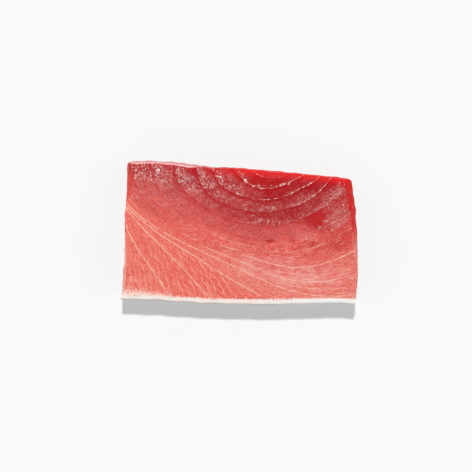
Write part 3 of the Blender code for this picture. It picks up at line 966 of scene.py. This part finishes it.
# What lies over it, from the first layer to the last: mask, strength, sRGB colour
painted_sheen = times(tree, here["moisture_and_painted_sheen"], span(tree, broad, 0.3, 0.7, 0.65, 1.0))
sheen_speckle = times(tree, painted_sheen, span(tree, here["smoother_sheen"], 0.0, 1.0, 0.6, 0.2))
sheen_dark = times(tree, sheen_speckle, span(tree, here["smoother_sheen"], 0.0, 1.0, 1.0, 0.5))
milky = times(tree, span(tree, broad, 0.2, 0.8, 0.5, 1.0), span(tree, grain, 0.34, 0.66, 0.26, 0.58))
colour = layered(
    tree,
    ground.outputs["Color"],
    (
        # The reds of the spine side, its rim painted brighter as if lit, and fat along the front rim,
        # painted lighter in part
        (here["back_red"], 0.75, (186, 10, 20)),
        (here["lit_rim_red"], 0.86, (222, 32, 34)),
        (here["left_red"], 0.66, (172, 16, 30)),
        (here["front_rim_fat_and_light"], 0.6, (255, 194, 168)),
        # Painted shade: a redder line just past each growth line
        (here["painted_shade_line"], 0.6, (190, 18, 28)),
        # Grain
        (pale_grain, span(tree, fatty, 0.0, 1.0, 0.03, 0.38), (246, 164, 148)),
        (dark_grain, span(tree, fatty, 0.0, 1.0, 0.34, 0.25), (206, 44, 42)),
        (pale_speckle, span(tree, fatty, 0.0, 1.0, 0.0, 0.26), (248, 170, 154)),
        (dark_speckle, 0.24, (206, 44, 42)),
        (darkest, here["grain_depth"], (92, 2, 16)),
        # Redder places
        (here["right_red"], 0.6, (188, 40, 40)),
        (here["deep"], 0.5, (160, 12, 20)),
        # The walls, painted brighter to make up for the little light they get
        (here["red_side_painted_light"], span(tree, broad, 0.3, 0.7, 0.7, 1.0), (226, 28, 26)),
        (here["pink_side_painted_light"], span(tree, broad, 0.3, 0.7, 0.75, 1.0), (255, 128, 116)),
        (here["red_spots"], span(tree, broad, 0.3, 0.6, 0.4, 0.9), (180, 26, 32)),
        # The painted highlight on the back wall, and the walls' fibres
        (span(tree, back_highlight, 0.12, 0.6), 0.85, (226, 164, 162)),
        (pale_fibres, times(tree, wall, fatty, 0.26), (248, 158, 144)),
        (pale_fibres, times(tree, wall, here["lean"], 0.3), (234, 70, 64)),
        (dark_fibres, times(tree, wall, span(tree, here["lean"], 0.0, 1.0, 0.12, 0.3)), (176, 16, 26)),
        # The pale bloom, and the milky veil with its specks: painted sheen and glints of the wet face
        (here["bloom"], milky, (240, 176, 168)),
        (dark_speckle, times(tree, here["left_red"], 0.4), (112, 14, 30)),
        # Painted shade: deeper red on the face's rim by the walls, where it turns from the light
        (times(tree, here["red_side_painted_light"], here["on_face"]), 0.6, (190, 34, 36)),
        (painted_sheen, 0.52, (176, 68, 70)),
        (dark_speckle, sheen_dark, (104, 14, 30)),
        (pale_speckle, sheen_speckle, (250, 172, 164)),
        (here["dull"], 0.22, (136, 36, 46)),
        (glint_strokes, times(tree, here["wet_glint_specks"], 0.52), (228, 172, 164)),
        (glint_dots, span(tree, here["glint_beads"], 0.2, 0.8, 0.5, 0.95), (248, 222, 214)),
        # Painted highlights on the far edge and rim, blotches, painted glint pearls, and fat
        (here["painted_rim_highlight"], span(tree, speckle, 0.4, 0.6, 0.2, 0.7), (244, 196, 192)),
        (rim_highlight_line, 0.8, (250, 218, 214)),
        (span(tree, broad, 0.46, 0.34), times(tree, fatty, 0.22), (228, 58, 54)),
        (dashes, times(tree, here["dashed"], 0.4), (250, 188, 170)),
        (branches, 0.6, (250, 190, 164)),
        (here["halo"], times(tree, fatty, 0.16), (246, 180, 164)),
        (times(tree, streaks, fatty), 0.88, (250, 216, 196)),
        # In the lean flesh the streaks are partly painted glints
        (times(tree, streaks, here["lean"]), 0.88, (252, 228, 222)),
        (span(tree, pearly_glints, 0.3, 0.56), 0.85, (250, 222, 218)),
        (span(tree, here["crumbs"], 0.3, 0.8), span(tree, speckle, 0.4, 0.6, 0.1, 0.5), (238, 160, 152)),
        (span(tree, frayed, 0.8, 0.9), 0.85, (250, 230, 218)),
    ),
)

# Light that bounces off the flesh is kept a neutral grey, so that the card round it stays neutral
BOUNCE_PALENESS = 0.85
BOUNCE_COLOUR = (120, 116, 114)
bounced = put(tree, "ShaderNodeLightPath").outputs["Is Diffuse Ray"]
colour = layered(tree, colour, ((bounced, BOUNCE_PALENESS, BOUNCE_COLOUR),))
tree.links.new(colour, shader.inputs["Base Color"])

# The finest relief, the dull walls, and the wet shine of the veil and the specks
height = times(tree, grain, 0.07)
for mask, rise in (
    (times(tree, speckle, painted_sheen), 0.12),
    (glint_dots, 0.08),
    (streaks, 0.06),
    (branches, 0.03),
    (times(tree, pale_fibres, wall), 0.06),
):
    height = maths(tree, "ADD", height, times(tree, mask, rise))
bump = put(tree, "ShaderNodeBump", {"Height": height, "Distance": 1.0 * MM, "Strength": 1.0})
tree.links.new(bump.outputs["Normal"], shader.inputs["Normal"])
roughness = maths(tree, "ADD", span(tree, here["moisture_and_painted_sheen"], 0.0, 0.6, 0.55, 0.34), times(tree, wall, 0.25))
tree.links.new(roughness, shader.inputs["Roughness"])
wet = span(tree, maths(tree, "MAXIMUM", here["moisture_and_painted_sheen"], here["wet_glint_specks"]), 0.0, 1.0, 0.01, 0.06)
tree.links.new(times(tree, here["on_face"], wet), shader.inputs["Coat Weight"])

flesh = piece("flesh_block", flesh_mesh, flesh_finish)
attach(flesh, "root")
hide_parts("flesh")


# Skin
# The fish's silvery skin with the white fat layer under it, which grows on the flesh along the whole
# front side. It is a strip with a rounded oblong section, carried along the skin line from the left
# end to the right, and it laps onto the flesh.
SKIN_RUN = 560
SKIN_ROUND = 64
SKIN_TRIM = (1.2 * MM, 0.5 * MM)
SKIN_BEVEL = (0.9 * MM, 1.2 * MM)
SKIN_SWELL = (0.25 * MM, 1.0 * MM)
SKIN_SQUARENESS = 9.0
SKIN_REACH_IN = 1.0 * MM
SKIN_RAGGED = 0.22 * MM
SKIN_PROUD = 0.06 * MM
SKIN_LEAN = (0.45 * MM, 1.3 * MM)
SCALE_SIZE = 1.7 * MM


def oblong(value):
    """A cosine or sine squared off: its size to the power 2 / n, with its sign."""
    return np.abs(value) ** (2 / SKIN_SQUARENESS) * np.sign(value)


def skin_point(t, a):
    """The strip: t along it from 0 to 1 and a round it, on the oblong |d|^n + |h|^n = 1.

    Its inner side is ragged by two waves. Its outer side leans out towards the base and swells a
    little, and its ends are bevelled.
    """
    u = 2 * t - 1
    run, rise = oblong(np.cos(a)), across(oblong(np.sin(a)))
    left = -LENGTH / 2 + SKIN_TRIM[0] - SKIN_BEVEL[0] * across(run)
    right = LENGTH / 2 - RIGHT_INSET - SKIN_TRIM[1] - SKIN_BEVEL[1] * across(run)
    x = mix((left, right), t)
    along = np.stack([x, np.zeros_like(x), np.zeros_like(x)], axis=-1)
    ragged = (waves(along, 2.6 * MM, 20) + waves(along, 7 * MM, 21)) * (1 - 0.6 * ramp(u, 0.4, 0.6))
    inner = skin_depth(u) + SKIN_REACH_IN + SKIN_RAGGED * ragged * rise
    outer = (mix(SKIN_LEAN, ramp(u, 0.5, 0.95)) + SKIN_RAGGED * waves(along, 16 * MM, 22)) * rise**2
    outer = outer - mix(SKIN_SWELL, ramp(u, 0.86, 0.97)) * ramp(u, 0.3, 0.5)
    y = skin_line(u) + mix((outer, inner), across(-run))
    z = (THICKNESS - END_FALL * u**6 + SKIN_PROUD) * rise
    return np.stack([x + PLAN_SHIFT[0], y + PLAN_SHIFT[1], z], axis=-1)


t_skin, a_skin = np.meshgrid(
    np.linspace(0, 1, SKIN_RUN + 1),
    np.linspace(0, 2 * np.pi, SKIN_ROUND, endpoint=False),
    indexing="ij",
)
strip_numbers = np.arange(t_skin.size).reshape(t_skin.shape)
strip_numbers = np.concatenate([strip_numbers, strip_numbers[:, :1]], axis=1)
skin_mesh = grid_mesh(
    "skin",
    skin_point(t_skin.ravel(), a_skin.ravel()),
    [quads(strip_numbers), strip_numbers[:1, :-1], strip_numbers[-1:, -2::-1]],
)
store(skin_mesh, "depth_in", across(-oblong(np.cos(a_skin))).ravel())

skin_finish, tree, shader = finished(
    "skin_layer",
    {
        "IOR": 1.4,
        "Specular IOR Level": 0.2,
        "Subsurface Weight": 0.1,
        "Subsurface Radius": (1.5, 1.2, 1.0),
        "Subsurface Scale": MM,
    },
)
place = put(tree, "ShaderNodeTexCoord").outputs["Object"]
depth = attribute(tree, "depth_in")
cloudy = noise(tree, place, size=6.0, detail=3.0)
crumbly, _, dark_crumb = moist_crumb(
    tree, place, size=1.1, detail=3.0, roughness=0.6, gap=0.05, softness=0.15
)
along_skin = put(tree, "ShaderNodeSeparateXYZ", {0: place}).outputs
up = maths(tree, "DIVIDE", along_skin["Z"], THICKNESS)
below_rim = span(tree, shaken(tree, up, crumbly, 0.3), 0.95, 0.8)
outside = times(tree, span(tree, depth, 0.06, 0.01), below_rim)
scale_values = {"Vector": stretched(tree, place, 0.75, 0.2, 1.0), "Scale": 1 / SCALE_SIZE}
to_edge = put(tree, "ShaderNodeTexVoronoi", scale_values, feature="DISTANCE_TO_EDGE").outputs["Distance"]
scale_edge = times(tree, span(tree, to_edge, 0.2, 0.0), outside)
tint = put(tree, "ShaderNodeTexVoronoi", scale_values).outputs["Color"]
tint = put(tree, "ShaderNodeSeparateXYZ", {0: tint}).outputs["X"]
lower_line = times(tree, span(tree, depth, 0.15, 0.05), span(tree, along_skin["X"], 36 * MM, 26 * MM))
colour = layered(
    tree,
    blended(tree, span(tree, cloudy, 0.35, 0.65), pigment(240, 226, 216), pigment(234, 228, 224)),
    (
        (span(tree, along_skin["X"], 6 * MM, 50 * MM), 0.75, (238, 238, 236)),
        (dark_crumb, 0.35, (232, 206, 192)),
        (span(tree, shaken(tree, depth, crumbly, 0.9), 0.8, 1.0), 0.65, (240, 176, 158)),
        (lower_line, span(tree, cloudy, 0.35, 0.6, 0.35, 0.9), (186, 158, 138)),
        (outside, 0.92, (220, 222, 222)),
        (outside, times(tree, tint, 0.3), (246, 246, 244)),
        (outside, span(tree, cloudy, 0.35, 0.7, 0.0, 0.25), (176, 184, 194)),
        (scale_edge, 0.22, (150, 158, 166)),
    ),
)
tree.links.new(colour, shader.inputs["Base Color"])
tree.links.new(times(tree, outside, 0.35), shader.inputs["Metallic"])
tree.links.new(span(tree, outside, 0.0, 1.0, 0.45, 0.32), shader.inputs["Roughness"])
skin_relief = maths(tree, "SUBTRACT", crumbly, times(tree, scale_edge, 0.5))
bump = put(tree, "ShaderNodeBump", {"Height": skin_relief, "Distance": 0.3 * MM, "Strength": 0.6})
tree.links.new(bump.outputs["Normal"], shader.inputs["Normal"])

skin = piece("skin_strip", skin_mesh, skin_finish)
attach(skin, "root")
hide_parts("skin")
